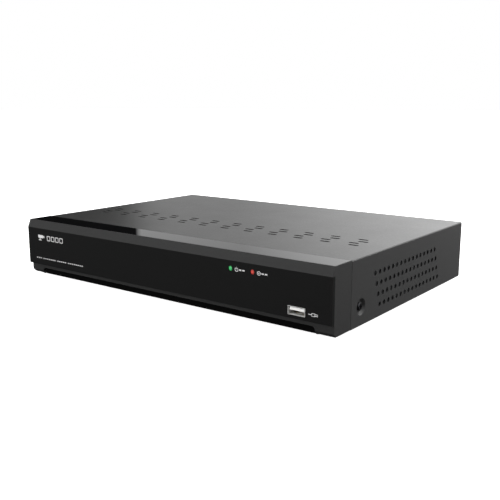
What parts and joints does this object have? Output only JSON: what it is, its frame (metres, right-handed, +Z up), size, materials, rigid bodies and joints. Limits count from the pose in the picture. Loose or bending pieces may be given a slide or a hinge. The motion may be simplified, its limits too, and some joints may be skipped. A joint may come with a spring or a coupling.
{
  "type": "video recorder",
  "caption": "Low black video recorder with a moulded front, vented steel cover, rear sockets, rocker switch, small fan and a hard disk with turning platters.",
  "frame": {"origin": "bottom centre of the recorder's box, on the surface that its feet stand on", "axes": "+X to the right of someone facing the front, along the width; +Y from the front panel to the rear sockets; +Z up"},
  "size_m": [0.3, 0.218, 0.048],
  "materials": {
    "cover_paint": "satin",
    "galvanised_steel": "satin",
    "bezel_plastic": "satin",
    "panel_plastic": "semi-gloss",
    "trim_acrylic": "high gloss",
    "green_lens": "gloss",
    "red_lens": "gloss",
    "lamp_plastic": "satin",
    "circuit_board": "satin",
    "plated_steel": "satin",
    "socket_white": "satin",
    "socket_black": "satin",
    "socket_blue": "satin",
    "zinc_screw": "satin",
    "black_screw": "satin",
    "rubber": "matte",
    "chip_epoxy": "matte",
    "anodised_aluminium": "satin",
    "capacitor_can": "satin",
    "ferrite": "matte",
    "cell_steel": "satin",
    "nylon_header": "satin",
    "gold_contact": "gloss",
    "switch_plastic": "satin",
    "cast_aluminium": "cast",
    "drive_lid_steel": "satin",
    "ground_steel": "ground",
    "turned_aluminium": "turned",
    "platter_mirror": "mirror",
    "fan_plastic": "satin",
    "red_lead": "satin",
    "black_lead": "satin",
    "grey_lead": "satin",
    "plug_nylon": "satin"
  },
  "bodies": {
    "case": {"top_cover": "cover_paint", "chassis": "galvanised_steel", "front_bezel": "bezel_plastic", "front_panel": "panel_plastic", "top_trim": "trim_acrylic", "power_light_pipe": "green_lens", "disk_light_pipe": "red_lens", "indicator_leds": "lamp_plastic", "front_board": "circuit_board", "usb_shells": "plated_steel", "usb_tongues": "socket_white", "board_screws": "zinc_screw", "case_screws": "black_screw", "rubber_feet": "rubber", "mainboard": "circuit_board", "processor": "chip_epoxy", "heatsink": "anodised_aluminium", "board_chips": "chip_epoxy", "capacitors": "capacitor_can", "power_coils": "ferrite", "line_transformers": "chip_epoxy", "coin_cell": "cell_steel", "cell_holder": "socket_black", "buzzer": "socket_black", "board_headers": "nylon_header", "port_shields": "plated_steel", "port_inserts": "socket_black", "port_contacts": "gold_contact", "video_out_shell": "plated_steel", "video_out_tongue": "socket_black", "monitor_port_shell": "plated_steel", "monitor_port_insert": "socket_blue", "monitor_port_nuts": "plated_steel", "audio_block": "socket_black", "audio_sleeves": "gold_contact", "power_inlet": "socket_black", "inlet_pin": "plated_steel", "switch_housing": "switch_plastic", "disk_base": "cast_aluminium", "disk_cover": "drive_lid_steel", "disk_cover_screws": "zinc_screw", "disk_board": "circuit_board", "disk_connector": "socket_black", "disk_shafts": "ground_steel", "coil_magnets": "ground_steel", "disk_mount_screws": "zinc_screw", "fan_frame": "fan_plastic", "fan_screws": "black_screw", "data_lead": "red_lead", "power_lead": "black_lead", "fan_lead": "black_lead", "front_lead": "grey_lead", "switch_lead": "black_lead", "lead_plugs": "plug_nylon"},
    "fan_rotor": {"fan_rotor": "fan_plastic"},
    "platter_stack": {"spindle_hub": "turned_aluminium", "platters": "platter_mirror"},
    "head_arm": {"head_arm": "turned_aluminium"},
    "switch_rocker": {"switch_rocker": "switch_plastic"}
  },
  "joints": [
    {"name": "fan_spin", "type": "hinge", "parent": "case", "child": "fan_rotor", "pos_m": [0.0938, 0.092, 0.025], "axis": [0, 1, 0], "continuous": true},
    {"name": "platter_spin", "type": "hinge", "parent": "case", "child": "platter_stack", "pos_m": [0.0918, -0.0277, 0.019], "axis": [0, 0, 1], "continuous": true},
    {"name": "arm_swing", "type": "hinge", "parent": "case", "child": "head_arm", "pos_m": [0.121, 0.0223, 0.019], "axis": [0, 0, 1], "range_deg": [0, 34]},
    {"name": "power_rocker", "type": "hinge", "parent": "case", "child": "switch_rocker", "pos_m": [-0.1121, 0.0996, 0.0234], "axis": [0, 0, 1], "range_deg": [0, 16]}
  ]
}
